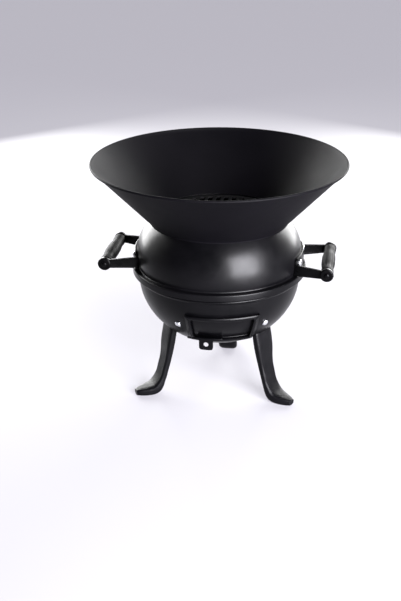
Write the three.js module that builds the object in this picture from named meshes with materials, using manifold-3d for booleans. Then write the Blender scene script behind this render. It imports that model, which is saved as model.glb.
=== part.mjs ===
// Ball brazier: a two-piece steel ball on three cast legs, a flared fire bowl on top,
// a sliding air damper in the lower shell and two carrying handles with turned wood grips.
// Millimetres, +Z up. Origin on the floor, on the axis of the ball. Handles lie along X.
import * as THREE from 'three';
import { mergeVertices } from 'three/addons/utils/BufferGeometryUtils.js';
import Module from 'manifold-3d';

const wasm = await Module();
wasm.setup();

// ---- driving dimensions -------------------------------------------------------------
const gap = 0.3; // running and seating clearance between pieces
const wall = 1.5; // pressed sheet steel
const turns = 56; // segments of a full turn of sheet metal
const far = 400; // cutting blocks reach this far, beyond the whole object
const spill = 1; // a cutter runs past the face it cuts by this much
const rad = Math.PI / 180;

// lower shell: a half ellipse hanging from its rim
const lowerRadius = 150.9; // outside, at the rim
const lowerRimZ = 246.8; // top face of the joint flange
const lowerEquatorZ = 229;
const lowerDepth = 131; // equator down to the lowest point

// joint of the two shells: a flange on each, and a skirt on the upper one that hangs over both
const skirtReach = 11.1; // outside of the skirt beyond the lower shell
const skirtHeight = 11.8;
const skirtClearance = 0.7; // skirt to the lower flange, on the radius
const skirtCorner = 1.2;

// upper shell: skirt, flange, ball shoulder, neck collar
const shoulderRadius = 92.7; // section radius of the shoulder
const shoulderReach = 3; // fullest part of the shoulder beyond the lower shell
const shoulderCentreZ = 268;
const neckRadius = 121;
const collarHeight = 4.6;

// fire bowl
const bowlSeatRadius = neckRadius + 7; // the bowl's foot stands clear of the collar
const bowlRimRadius = 234;
const bowlHeight = 111;
const bowlLip = 2.6; // short upright stretch above the seat
const bowlLipFlare = 0.4; // lean of that stretch
const rimBead = 2.4; // radius of the rolled rim

// charcoal grate and the lugs that carry it
const grateRadius = neckRadius - wall - 4.5; // room for the grate to lift out
const grateThickness = 4;
const grateBar = 6;
const grateSlot = 9;
const grateBorder = 9;
const lugWidth = 16;
const lugThickness = 2.4;
const lugReach = 11;
const lugDrop = 5.4; // lug top below the top of the collar
const lugRelief = 0.2; // extra room for the facets of the collar
const lugAngles = [0, 120, 240];

// air vent in the lower shell
const ventTurn = 10; // degrees from the front, towards +X
const ventHalfWidth = 67.5; // outside of the frame, at its top
const ventTaper = 0.14; // each side leans in by this much per millimetre of drop
const ventTopZ = 201.5;
const ventBottomZ = 137;
const frameSide = 10.5; // width of the frame at each side of the opening
const frameFoot = 5; // of which this much lies flat on the shell
const frameTop = 7.5; // height of the top rail
const frameBottom = 9.4;
const frameThickness = 5.6; // how far the frame stands off the shell
const windowInset = 0.9; // the frame covers the edge of the window by this much
const damperThickness = 1.2;
const damperSink = 0.25; // outside of the damper below the outside of the shell
const damperFoot = 0.4; // clearance at the bottom of the window
const damperHead = 0.6; // and at its top
const damperEdgeAngle = 0.8; // free edge of the closed damper, in the vent's own degrees
const hookToAngle = 0.3; // free end of the damper's turned-out flange
const hookMargin = 4; // degrees from the damper's other edge to the flange
const lipOverhang = 8; // the flange's lip runs on past it by this angle, outside the frame
const flangeReach = 10.2;
const flangeDrop = 3;
const tabSetIn = 8; // tab centre, in degrees from the start of the flange
const tabWidth = 26;
const tabLength = 22;
const tabHole = 4.4;
const tabCorner = 6.5;
const portBorder = 5; // metal left round the air port (millimetres and degrees)
const backplateHalfAngle = 41;
const backplateLap = 4; // beyond the window, above and below
const ventBoltAngle = 35.2;
const ventBoltZ = 173;
const ventBoltLength = 14;

// M6 fasteners
const boltRadius = 2.85;
const holeRadius = 3.2;
const domeRadius = 6;
const domeHeight = 3.4;
const domeEdge = 0.8; // upright edge of the dome
const hexHead = 4; // height of a hexagon head
const drill = 20; // a drilled hole reaches this far on each side of the sheet
const boltSegments = 14;
const nutFlat = 10; // across flats
const nutHeight = 4.8;
const washerRadius = 6.2;
const washerThickness = 1.6;

// legs
const legCount = 3;
const legTopRadius = 98; // centre of the leg's top, from the ball's axis
const legRootLength = 15; // leg drawn this far into the ball, then cut to its curve
// Centre line and section below the top: radius, height, thickness, width.
const legStations = [
  [105, 105, 16.5, 46.5],
  [110.6, 70, 14, 38.2],
  [116.2, 49, 13.6, 36.6],
  [121.2, 32.5, 14, 36.2],
  [134, 11.3, 19.6, 37.4],
  [151, 6.6, 17, 31],
  [164, 5.8, 14, 22],
  [172.3, 5.3, 10, 14],
];
const legTopThickness = 15;
const legTopWidth = 48;
const legSquareness = 3.2; // power of the rounded section: 2 is an ellipse
const legBoltRadius = 94; // where the bolt crosses the shell
const legBoltLength = 15;
const legBoltRoom = 1.5; // depth of the hole beyond the bolt's end
const legSections = 22;
const legSectionPoints = 20;

// handles, laid out about the X axis
const plateHalfAngle = 23;
const plateLowZ = 251;
const plateHighZ = 281;
const plateThickness = 4;
const handleBoltAngle = 14.5;
const handleBoltZ = 270;
const handleBoltReach = 12; // bolt beyond the plate
const gripAxisX = 204;
const gripZ = 260;
const eyeSpacing = 135.4;
const eyeRadius = 12.3;
const eyeThickness = 8;
const armRootY = 52;
const armRootSink = 6; // arm starts this far inside the plate
const armRootHeight = 22;
const armEndHeight = 15.5;
const armThickness = 7;
const rodRadius = 3;
const rodHead = 4.6;
const rodHeadHeight = 2.6;
const rodTail = 5; // thread beyond the eye, for the nut
const gripEnd = 11.6;
const gripWaist = 10.8;
const gripMiddle = 12.6;

// ---- materials ----------------------------------------------------------------------
const shellPaint = new THREE.MeshStandardMaterial({ color: 0x2b2b2e, roughness: 0.42, metalness: 0.1 });
const bowlPaint = new THREE.MeshStandardMaterial({ color: 0x232227, roughness: 0.7, metalness: 0.1 });
const castIron = new THREE.MeshStandardMaterial({ color: 0x2c2b31, roughness: 0.6, metalness: 0.2 });
const glossPaint = new THREE.MeshStandardMaterial({ color: 0x121213, roughness: 0.35, metalness: 0.1 });
const zinc = new THREE.MeshStandardMaterial({ color: 0xc9ccd1, roughness: 0.3, metalness: 1 });
const stainedWood = new THREE.MeshStandardMaterial({ color: 0x4a454b, roughness: 0.6, metalness: 0 });

// ---- solids -------------------------------------------------------------------------
function solid(geometry) {
  const bare = geometry.clone();
  bare.deleteAttribute('normal');
  bare.deleteAttribute('uv');
  const merged = mergeVertices(bare, 1e-4);
  const mesh = new wasm.Mesh({
    numProp: 3,
    vertProperties: merged.attributes.position.array,
    triVerts: new Uint32Array(merged.index.array),
  });
  return new wasm.Manifold(mesh);
}

function geometryOf(body) {
  const mesh = body.getMesh();
  const geometry = new THREE.BufferGeometry();
  geometry.setAttribute('position', new THREE.BufferAttribute(mesh.vertProperties, 3));
  geometry.setIndex(new THREE.BufferAttribute(mesh.triVerts, 1));
  geometry.computeVertexNormals();
  return geometry;
}

// Turned solid about Z from an outline of [radius, z] pairs, anticlockwise with the axis at left.
function turned(outline, segments = turns) {
  const points = outline.map(([r, z]) => new THREE.Vector2(r, z));
  const onAxis = (point) => point.x === 0;
  if (!(onAxis(points[0]) && onAxis(points.at(-1)))) points.push(points[0].clone());
  return new THREE.LatheGeometry(points, segments).rotateX(Math.PI / 2);
}

// Flat plate of a shape in XY, from z = low to z = high.
function plate(shape, low, high) {
  return new THREE.ExtrudeGeometry(shape, { depth: high - low, bevelEnabled: false, curveSegments: 10 })
    .translate(0, 0, low);
}

function polygon(pairs) {
  return new THREE.Shape(pairs.map(([x, y]) => new THREE.Vector2(x, y)));
}

function roundedBox(width, low, high, corner) {
  const half = width / 2;
  const shape = new THREE.Shape();
  shape.moveTo(-half, high);
  shape.lineTo(-half, low + corner);
  shape.absarc(-half + corner, low + corner, corner, Math.PI, 1.5 * Math.PI, false);
  shape.absarc(half - corner, low + corner, corner, 1.5 * Math.PI, 2 * Math.PI, false);
  shape.lineTo(half, high);
  return shape;
}

// Rod along +Z from z = low to z = high.
function rod(radius, low, high, segments = 16) {
  return new THREE.CylinderGeometry(radius, radius, high - low, segments)
    .rotateX(Math.PI / 2)
    .translate(0, 0, (low + high) / 2);
}

// Pie slice between two angles, measured from -Y towards +X.
function wedge(fromAngle, toAngle, low, high) {
  const steps = Math.max(1, Math.ceil((toAngle - fromAngle) / 45));
  const rays = Array.from({ length: steps + 1 }, (_, i) => {
    const angle = (fromAngle + ((toAngle - fromAngle) * i) / steps) * rad;
    return [far * Math.sin(angle), -far * Math.cos(angle)];
  });
  return solid(plate(polygon([[0, 0], ...rays]), low, high));
}

// Places a geometry drawn along +Z so that it points along (radial, vertical) at an angle round Z.
function aimed(geometry, radius, z, normal, angle) {
  const tilt = Math.atan2(normal[0], normal[1]);
  return geometry.rotateX(tilt).translate(0, -radius, z).rotateZ(angle * rad);
}

// ---- section curves of the ball -----------------------------------------------------
// Lower shell: point and outward normal at a height, or at an ellipse angle.
function lowerAt(angle) {
  const r = lowerRadius * Math.cos(angle);
  const z = lowerEquatorZ - lowerDepth * Math.sin(angle);
  const nr = Math.cos(angle) / lowerRadius;
  const nz = -Math.sin(angle) / lowerDepth;
  const size = Math.hypot(nr, nz);
  return { r, z, normal: [nr / size, nz / size] };
}

function lowerAngleAtZ(z) {
  return Math.asin((lowerEquatorZ - z) / lowerDepth);
}

function lowerOffset(angle, offset) {
  const { r, z, normal } = lowerAt(angle);
  return [Math.max(0, r + normal[0] * offset), z + normal[1] * offset];
}

// The lower surface pushed out by an offset, from its lowest point up to the equator.
// Every sheet that follows the shell uses the same stations, so their facets stay parallel.
const lowerSteps = 12;

function lowerProfile(offset) {
  return Array.from({ length: lowerSteps + 1 }, (_, i) => {
    const [r, z] = lowerOffset((1 - i / lowerSteps) * (Math.PI / 2), offset);
    return [i === 0 ? 0 : r, z];
  });
}

const skirtRadius = lowerRadius + skirtReach;
const ledgeZ = lowerRimZ + gap + wall; // top face of the upper flange
const shoulderCentreR = lowerRadius + shoulderReach - shoulderRadius;

function shoulderR(z, offset = 0) {
  return shoulderCentreR + Math.sqrt((shoulderRadius + offset) ** 2 - (z - shoulderCentreZ) ** 2);
}

function shoulderZ(r, offset = 0) {
  return shoulderCentreZ + Math.sqrt((shoulderRadius + offset) ** 2 - (r - shoulderCentreR) ** 2);
}

// The shoulder pushed out by an offset, from the flange up to the neck, on shared stations.
const shoulderSteps = 9;
const shoulderLowAngle = Math.asin((ledgeZ - shoulderCentreZ) / shoulderRadius);
const shoulderTopAngle = Math.acos((neckRadius - shoulderCentreR) / shoulderRadius);

function shoulderProfile(offset) {
  const reach = shoulderRadius + offset;
  return Array.from({ length: shoulderSteps + 1 }, (_, i) => {
    const angle = shoulderLowAngle + ((shoulderTopAngle - shoulderLowAngle) * i) / shoulderSteps;
    return [shoulderCentreR + reach * Math.cos(angle), shoulderCentreZ + reach * Math.sin(angle)];
  });
}

const collarTopZ = shoulderZ(neckRadius) + collarHeight;

// ---- lower shell --------------------------------------------------------------------
function lowerShellSolid() {
  const inner = lowerProfile(-wall).reverse();
  const flange = skirtRadius - wall - skirtClearance;
  const rim = [
    [lowerRadius, lowerRimZ - wall],
    [flange, lowerRimZ - wall],
    [flange, lowerRimZ],
    [lowerRadius - wall, lowerRimZ],
  ];
  return solid(turned([...lowerProfile(0), ...rim, ...inner]));
}

function ballBlock(offset) {
  const side = [lowerRadius + offset, lowerRimZ];
  return solid(turned([...lowerProfile(offset), side, [0, lowerRimZ]]));
}

const openingLowZ = ventBottomZ + frameBottom;
const openingHighZ = ventTopZ - frameTop;
const windowLowZ = openingLowZ + windowInset;
const windowHighZ = openingHighZ + 3 * windowInset;

function ventHalf(z) {
  return ventHalfWidth - ventTaper * (ventTopZ - z);
}

// Block aimed straight into the vent: its sides lean in with the frame, moved in by an inset.
function ventBlock(inset, low, high) {
  const shape = polygon([
    [inset - ventHalf(low), low],
    [ventHalf(low) - inset, low],
    [ventHalf(high) - inset, high],
    [inset - ventHalf(high), high],
  ]);
  return solid(plate(shape, 0, far).rotateX(Math.PI / 2).rotateZ(ventTurn * rad));
}

function ventBoltHoles() {
  const at = lowerAt(lowerAngleAtZ(ventBoltZ));
  return [-ventBoltAngle, ventBoltAngle].map((angle) =>
    solid(aimed(rod(holeRadius, -drill, drill), at.r, at.z, at.normal, ventTurn + angle)));
}

function legBoltHole(length, angle) {
  const at = lowerAt(Math.acos(legBoltRadius / lowerRadius));
  return solid(aimed(rod(holeRadius, -drill, length), at.r, at.z, at.normal, angle));
}

const legAngles = Array.from({ length: legCount }, (_, i) => (360 / legCount) * (i - 0.5));

function lowerShell() {
  let shell = lowerShellSolid();
  shell = shell.subtract(ventBlock(frameSide - windowInset, windowLowZ, windowHighZ));
  for (const hole of ventBoltHoles()) shell = shell.subtract(hole);
  for (const angle of legAngles) shell = shell.subtract(legBoltHole(drill, angle));
  return geometryOf(shell);
}

// ---- upper shell --------------------------------------------------------------------
function upperShell() {
  const skirtLowZ = ledgeZ - skirtHeight;
  const outer = [
    [skirtRadius, skirtLowZ],
    [skirtRadius, ledgeZ - skirtCorner],
    [skirtRadius - skirtCorner * 0.3, ledgeZ - skirtCorner * 0.3],
    [skirtRadius - skirtCorner, ledgeZ],
    ...shoulderProfile(0),
    [neckRadius, collarTopZ],
    [neckRadius - wall, collarTopZ],
  ];
  const inner = [[neckRadius - wall, shoulderZ(neckRadius)], ...shoulderProfile(-wall).reverse().slice(1)];
  const foot = [
    [lowerRadius - wall * 0.4, ledgeZ - wall],
    [skirtRadius - wall, ledgeZ - wall],
    [skirtRadius - wall, skirtLowZ],
  ];
  let shell = solid(turned([...outer, ...inner, ...foot]));
  for (const side of [-1, 1]) {
    for (const end of [-1, 1]) shell = shell.subtract(handleBoltTool(side, end));
  }
  return geometryOf(shell);
}

// ---- fire bowl ----------------------------------------------------------------------
function fireBowl() {
  const seatOuterZ = shoulderZ(bowlSeatRadius) + gap;
  const slope = Math.atan2(bowlRimRadius - bowlSeatRadius, bowlHeight);
  const across = wall / Math.cos(slope);
  const innerSeat = bowlSeatRadius - wall;
  const rimZ = seatOuterZ + bowlHeight;
  const bead = Array.from({ length: 7 }, (_, i) => {
    const angle = -2.2 + (i / 6) * 4.9;
    return [bowlRimRadius - rimBead + rimBead * Math.cos(angle), rimZ + rimBead * Math.sin(angle)];
  });
  return turned([
    [bowlSeatRadius, seatOuterZ],
    [bowlSeatRadius + bowlLipFlare, seatOuterZ + bowlLip],
    ...bead,
    [bowlRimRadius - rimBead * 2 - across, rimZ - rimBead],
    [innerSeat + bowlLipFlare * wall, seatOuterZ + bowlLip + wall * 0.6],
    [innerSeat, shoulderZ(innerSeat) + gap],
  ]);
}

// ---- charcoal grate -----------------------------------------------------------------
const lugTopZ = collarTopZ - lugDrop;
const grateLowZ = lugTopZ + gap;

function charcoalGrate() {
  const highZ = grateLowZ + grateThickness;
  let disc = solid(rod(grateRadius, grateLowZ, highZ, turns));
  const pitch = grateBar + grateSlot;
  const reach = grateRadius - grateBorder;
  const half = grateSlot / 2;
  const count = Math.floor((reach - half) / pitch);
  for (let i = -count; i <= count; i += 1) {
    const x = i * pitch;
    const end = Math.sqrt(reach ** 2 - (Math.abs(x) + half) ** 2);
    for (const side of [-1, 1]) {
      const low = side > 0 ? grateBar / 2 : -end;
      const high = side > 0 ? end : -grateBar / 2;
      const slot = polygon([[x - half, low], [x + half, low], [x + half, high], [x - half, high]]);
      disc = disc.subtract(solid(plate(slot, grateLowZ - spill, highZ + spill)));
    }
  }
  return geometryOf(disc);
}

function grateLug(angle) {
  const outer = neckRadius - wall - gap;
  const lug = solid(plate(polygon([[-lugWidth / 2, -outer], [lugWidth / 2, -outer],
    [lugWidth / 2, lugReach - outer], [-lugWidth / 2, lugReach - outer]]), lugTopZ - lugThickness, lugTopZ));
  const throat = solid(rod(outer - lugRelief, lugTopZ - drill, lugTopZ + drill, turns));
  return geometryOf(lug.intersect(throat)).rotateZ(angle * rad);
}

// ---- air vent -----------------------------------------------------------------------
// Curved sheet that follows the lower shell between two offsets, two heights and two angles.
function lowerSheet(inside, outside) {
  return solid(turned([...lowerProfile(outside), ...lowerProfile(inside).reverse()]));
}

// Pressed frame: a flat foot down each side, and a raised channel that is open along its top.
function ventFrame() {
  const foot = lowerSheet(gap, gap + wall).intersect(ventBlock(0, ventBottomZ, ventTopZ));
  const raised = ventBlock(frameFoot, ventBottomZ, ventTopZ);
  const channel = lowerSheet(gap, gap + frameThickness).intersect(raised);
  const hollow = lowerSheet(gap - spill, gap + frameThickness - wall)
    .intersect(ventBlock(frameSide - wall, openingHighZ - spill, ventTopZ + spill));
  const opening = ventBlock(frameSide, openingLowZ, openingHighZ);
  return geometryOf(foot.add(channel).subtract(hollow).subtract(opening));
}

const backOutside = -wall - gap;

function ventBackplate() {
  const ear = wedge(ventTurn - backplateHalfAngle, ventTurn + backplateHalfAngle,
    windowLowZ - backplateLap, windowHighZ + backplateLap);
  let sheet = lowerSheet(backOutside - wall, backOutside).intersect(ear);
  const port = ventBlock(frameSide + portBorder, windowLowZ + portBorder, windowHighZ - portBorder)
    .intersect(wedge(ventTurn - 90, ventTurn - portBorder / 2, windowLowZ, windowHighZ));
  sheet = sheet.subtract(port);
  for (const hole of ventBoltHoles()) sheet = sheet.subtract(hole);
  return geometryOf(sheet);
}

function damperPlate() {
  const inside = -damperSink - damperThickness;
  const lowZ = windowLowZ + damperFoot;
  const inset = frameSide - windowInset + gap;
  const skin = lowerSheet(inside, -damperSink)
    .intersect(ventBlock(inset, lowZ, windowHighZ - damperHead))
    .intersect(wedge(ventTurn - 90, ventTurn + damperEdgeAngle, lowZ, windowHighZ));
  const lowAngle = lowerAngleAtZ(lowZ);
  const edge = Math.asin((ventHalf(lowZ) - inset) / lowerAt(lowAngle).r) / rad;
  const hookFrom = ventTurn - edge + hookMargin;
  const root = lowerOffset(lowAngle, inside)[0] + 0.2;
  const rim = root - 0.2 + flangeReach + wall;
  const flange = solid(turned([[root, lowZ], [rim, lowZ], [rim, lowZ + wall], [root, lowZ + wall]]));
  const lip = solid(turned([[rim - wall, lowZ - flangeDrop], [rim, lowZ - flangeDrop], [rim, lowZ + wall],
    [rim - wall, lowZ + wall]]));
  const slice = (from) => wedge(from, ventTurn + hookToAngle, lowZ - drill, lowZ + drill);
  const shape = roundedBox(tabWidth, lowZ - tabLength, lowZ, tabCorner);
  const eye = new THREE.Path().absarc(0, lowZ - tabLength + tabCorner + tabHole, tabHole, 0, 2 * Math.PI, true);
  shape.holes.push(eye);
  const flat = rim * Math.cos(tabWidth / 2 / rim);
  const tab = solid(plate(shape, flat - wall, flat).rotateX(Math.PI / 2).rotateZ((hookFrom + tabSetIn) * rad));
  return geometryOf(skin.add(flange.intersect(slice(hookFrom))).add(lip.intersect(slice(hookFrom - lipOverhang))).add(tab));
}

// ---- fasteners ----------------------------------------------------------------------
// Dome-head bolt: head above z = 0, shank down to z = -length.
function domeBolt(length) {
  const steps = 4;
  const dome = Array.from({ length: steps + 1 }, (_, i) => {
    const angle = (i / steps) * (Math.PI / 2);
    return [domeRadius * Math.cos(angle), domeEdge + (domeHeight - domeEdge) * Math.sin(angle)];
  });
  dome[steps][0] = 0;
  return turned([[0, -length], [boltRadius, -length], [boltRadius, 0], [domeRadius, 0], ...dome],
    boltSegments);
}

// Bored hexagon or disc from z = 0 up.
function bored(outside, height) {
  return geometryOf(solid(outside).subtract(solid(rod(holeRadius, -spill, height + spill, boltSegments))));
}

const nutCorner = nutFlat / Math.sqrt(3);

function nut() {
  return bored(rod(nutCorner, 0, nutHeight, 6), nutHeight);
}

function washer() {
  return bored(rod(washerRadius, 0, washerThickness, 18), washerThickness);
}

function hexBolt(length) {
  const head = solid(rod(nutCorner, 0, hexHead, 6));
  return geometryOf(head.add(solid(rod(boltRadius, -length, spill, boltSegments))));
}

function ventBolt(side) {
  const at = lowerAt(lowerAngleAtZ(ventBoltZ));
  const bolt = domeBolt(ventBoltLength).translate(0, 0, gap);
  return aimed(bolt, at.r, at.z, at.normal, ventTurn + side * ventBoltAngle);
}

function ventNut(side) {
  const at = lowerAt(lowerAngleAtZ(ventBoltZ));
  const piece = nut().translate(0, 0, backOutside - wall - gap * 2 - nutHeight);
  return aimed(piece, at.r, at.z, at.normal, ventTurn + side * ventBoltAngle);
}

// ---- legs ---------------------------------------------------------------------------
// Rounded section of a leg at one station, in the plane across its centre line.
function legSection(r, z, slope, thickness, width) {
  const power = 2 / legSquareness;
  const bend = (value) => Math.sign(value) * Math.abs(value) ** power;
  return Array.from({ length: legSectionPoints }, (_, i) => {
    const angle = (i / legSectionPoints) * 2 * Math.PI;
    const across = (bend(Math.cos(angle)) * width) / 2;
    const along = (bend(Math.sin(angle)) * thickness) / 2;
    return [across, -(r + along * Math.cos(slope)), z + along * Math.sin(slope)];
  });
}

// Leg lofted down its centre line, drawn towards -Y; the floor and the ball trim it.
function legLoft() {
  const topZ = lowerAt(Math.acos(legTopRadius / lowerRadius)).z + legRootLength;
  const stations = [[legTopRadius, topZ, legTopThickness, legTopWidth], ...legStations];
  const line = new THREE.CatmullRomCurve3(stations.map(([r, z]) => new THREE.Vector3(r, 0, z)));
  const size = new THREE.CatmullRomCurve3(stations.map(([, , t, w]) => new THREE.Vector3(t, w, 0)));
  const rings = Array.from({ length: legSections + 1 }, (_, i) => {
    const share = i / legSections;
    const at = line.getPoint(share);
    const tangent = line.getTangent(share);
    const { x: thickness, y: width } = size.getPoint(share);
    return legSection(at.x, at.z, Math.atan2(tangent.x, -tangent.z), thickness, width);
  });
  return lofted(rings);
}

// Closed solid through rings of equal point counts, with a flat cap at each end.
function lofted(rings) {
  const count = rings[0].length;
  const middle = (ring) => [0, 1, 2].map((axis) => ring.reduce((sum, point) => sum + point[axis], 0) / count);
  const points = [...rings.flat(), middle(rings[0]), middle(rings.at(-1))];
  const top = points.length - 2;
  const faces = [];
  for (let i = 0; i < count; i += 1) {
    const next = (i + 1) % count;
    for (let k = 0; k + 1 < rings.length; k += 1) {
      const [a, b, c, d] = [k * count + i, k * count + next, (k + 1) * count + next, (k + 1) * count + i];
      faces.push(a, b, c, a, c, d);
    }
    const last = (rings.length - 1) * count;
    faces.push(top, next, i, top + 1, last + i, last + next);
  }
  const geometry = new THREE.BufferGeometry();
  geometry.setAttribute('position', new THREE.Float32BufferAttribute(points.flat(), 3));
  geometry.setIndex(faces);
  return geometry;
}

function leg(angle) {
  const belowFloor = new THREE.BoxGeometry(far, far, far).translate(0, -far / 2, -far / 2);
  let body = solid(legLoft()).subtract(solid(belowFloor));
  body = body.subtract(ballBlock(gap));
  body = body.subtract(legBoltHole(legBoltLength + legBoltRoom, 0));
  return geometryOf(body).rotateZ(angle * rad);
}

function legBolt(angle) {
  const at = lowerAt(Math.acos(legBoltRadius / lowerRadius));
  const seat = wall + gap * 2 + washerThickness + gap;
  const bolt = hexBolt(seat + legBoltLength).rotateX(Math.PI).translate(0, 0, -seat);
  return aimed(bolt, at.r, at.z, at.normal, angle);
}

function legWasher(angle) {
  const at = lowerAt(Math.acos(legBoltRadius / lowerRadius));
  const ring = washer().translate(0, 0, -wall - gap * 2 - washerThickness);
  return aimed(ring, at.r, at.z, at.normal, angle);
}

// ---- handles ------------------------------------------------------------------------
// Direction of the shoulder's normal at the height of the handle bolts.
function shoulderNormal(z) {
  const r = shoulderR(z) - shoulderCentreR;
  const height = z - shoulderCentreZ;
  const size = Math.hypot(r, height);
  return [r / size, height / size];
}

function onHandle(geometry, side, end) {
  const angle = side * (90 + end * handleBoltAngle);
  return aimed(geometry, shoulderR(handleBoltZ), handleBoltZ, shoulderNormal(handleBoltZ), angle);
}

function handleBoltTool(side, end) {
  return solid(onHandle(rod(holeRadius, -drill, drill), side, end));
}

const gripHalf = eyeSpacing / 2 - eyeThickness / 2 - gap;

function arm(end) {
  const rootX = Math.sqrt(shoulderR(gripZ, gap) ** 2 - armRootY ** 2) - armRootSink;
  const endY = eyeSpacing / 2;
  const length = Math.hypot(gripAxisX - rootX, endY - armRootY);
  const splay = Math.atan2(endY - armRootY, gripAxisX - rootX);
  const shape = polygon([[0, -armRootHeight / 2], [length, -armEndHeight / 2],
    [length, armEndHeight / 2], [0, armRootHeight / 2]]);
  return solid(new THREE.ExtrudeGeometry(shape, { depth: armThickness, bevelEnabled: false })
    .translate(0, 0, -armThickness / 2)
    .rotateX(Math.PI / 2)
    .rotateZ(end * splay)
    .translate(rootX, end * armRootY, gripZ));
}

function eye(end) {
  const disc = new THREE.CylinderGeometry(eyeRadius, eyeRadius, eyeThickness, 24);
  return solid(disc.translate(gripAxisX, (end * eyeSpacing) / 2, gripZ));
}

function shoulderBlock(offset) {
  const curve = shoulderProfile(offset);
  const below = curve[0][1] - drill;
  return solid(turned([[0, below], [curve[0][0], below], ...curve, [0, curve.at(-1)[1]]]));
}

function handleBracket(side) {
  const slice = wedge(90 - plateHalfAngle, 90 + plateHalfAngle, plateLowZ, plateHighZ);
  let body = shoulderBlock(gap + plateThickness).intersect(slice);
  for (const end of [-1, 1]) body = body.add(arm(end)).add(eye(end));
  body = body.subtract(shoulderBlock(gap));
  const seat = eyeSpacing / 2 - eyeThickness / 2;
  const room = rod(eyeRadius + spill, -seat, seat, 24).rotateX(Math.PI / 2).translate(gripAxisX, 0, gripZ);
  body = body.subtract(solid(room));
  const bore = rod(rodRadius + gap, -eyeSpacing, eyeSpacing).rotateX(Math.PI / 2).translate(gripAxisX, 0, gripZ);
  body = body.subtract(solid(bore));
  for (const end of [-1, 1]) body = body.subtract(handleBoltTool(1, end));
  return geometryOf(body).rotateZ(side > 0 ? 0 : Math.PI);
}

// Turned grip: wide ends, two waists and a swelling in the middle.
function handleGrip(side) {
  const stations = [[0, gripMiddle], [0.28, gripMiddle - 0.3], [0.58, gripWaist], [0.8, gripEnd - 0.1],
    [0.93, gripEnd], [1, gripEnd - 1.4]];
  const half = stations.map(([share, radius]) => [radius, share * gripHalf]);
  const mirrored = half.slice(1).map(([radius, y]) => [radius, -y]).reverse();
  const bore = rodRadius + gap;
  const outline = [...mirrored, ...half, [bore, gripHalf], [bore, -gripHalf]];
  return turned(outline, 18).rotateX(Math.PI / 2).translate(side * gripAxisX, 0, gripZ);
}

const rodReach = eyeSpacing / 2 + eyeThickness / 2;

function gripRod(side) {
  const face = rodReach + gap;
  const tail = face + rodTail;
  const outline = [[0, -face - rodHeadHeight], [rodHead * 0.7, -face - rodHeadHeight],
    [rodHead, -face - rodHeadHeight * 0.5], [rodHead, -face], [rodRadius, -face], [rodRadius, tail], [0, tail]];
  return turned(outline, boltSegments).rotateX(-Math.PI / 2).translate(side * gripAxisX, 0, gripZ);
}

function gripNut(side) {
  const outside = rodReach + gap;
  return nut().rotateX(-Math.PI / 2).translate(side * gripAxisX, outside, gripZ);
}

function handleBolt(side, end) {
  return onHandle(domeBolt(plateThickness + handleBoltReach).translate(0, 0, gap * 2 + plateThickness), side, end);
}

function handleNut(side, end) {
  return onHandle(nut().translate(0, 0, -wall - gap * 2 - nutHeight), side, end);
}

// ---- assembly -----------------------------------------------------------------------
const brazier = new THREE.Group();

function piece(name, geometry, material) {
  const mesh = new THREE.Mesh(geometry, material);
  mesh.name = name;
  brazier.add(mesh);
}

const sides = { left: -1, right: 1 };
const ends = { front: -1, rear: 1 };

piece('lower_shell', lowerShell(), shellPaint);
piece('upper_shell', upperShell(), shellPaint);
piece('fire_bowl', fireBowl(), bowlPaint);
piece('charcoal_grate', charcoalGrate(), castIron);
lugAngles.forEach((angle, i) => piece(`grate_lug_${i + 1}`, grateLug(angle), shellPaint));

piece('vent_frame', ventFrame(), shellPaint);
piece('vent_backplate', ventBackplate(), shellPaint);
piece('damper_plate', damperPlate(), shellPaint);
for (const [name, side] of Object.entries(sides)) {
  piece(`vent_bolt_${name}`, ventBolt(side), zinc);
  piece(`vent_nut_${name}`, ventNut(side), zinc);
}

const legNames = ['front_left', 'front_right', 'rear'];
legAngles.forEach((angle, i) => {
  piece(`leg_${legNames[i]}`, leg(angle), castIron);
  piece(`leg_bolt_${legNames[i]}`, legBolt(angle), zinc);
  piece(`leg_washer_${legNames[i]}`, legWasher(angle), zinc);
});

for (const [name, side] of Object.entries(sides)) {
  piece(`handle_bracket_${name}`, handleBracket(side), glossPaint);
  piece(`handle_grip_${name}`, handleGrip(side), stainedWood);
  piece(`grip_rod_${name}`, gripRod(side), glossPaint);
  piece(`grip_nut_${name}`, gripNut(side), zinc);
  for (const [endName, end] of Object.entries(ends)) {
    piece(`handle_bolt_${name}_${endName}`, handleBolt(side, end), zinc);
    piece(`handle_nut_${name}_${endName}`, handleNut(side, end), zinc);
  }
}

export default brazier;
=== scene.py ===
# %% [markdown]
# # A ball brazier, piece by piece
# Two pressed steel halves make a ball that stands on three cast legs. A flared fire bowl sits on
# its neck, a sliding damper opens the air vent at the front, and two cast brackets carry turned
# wooden grips. The CAD frame fixes every place and size; this file gives each piece its fine
# surface and its finish, in metres, +Z up, with the origin on the floor under the ball.

import math

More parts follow.
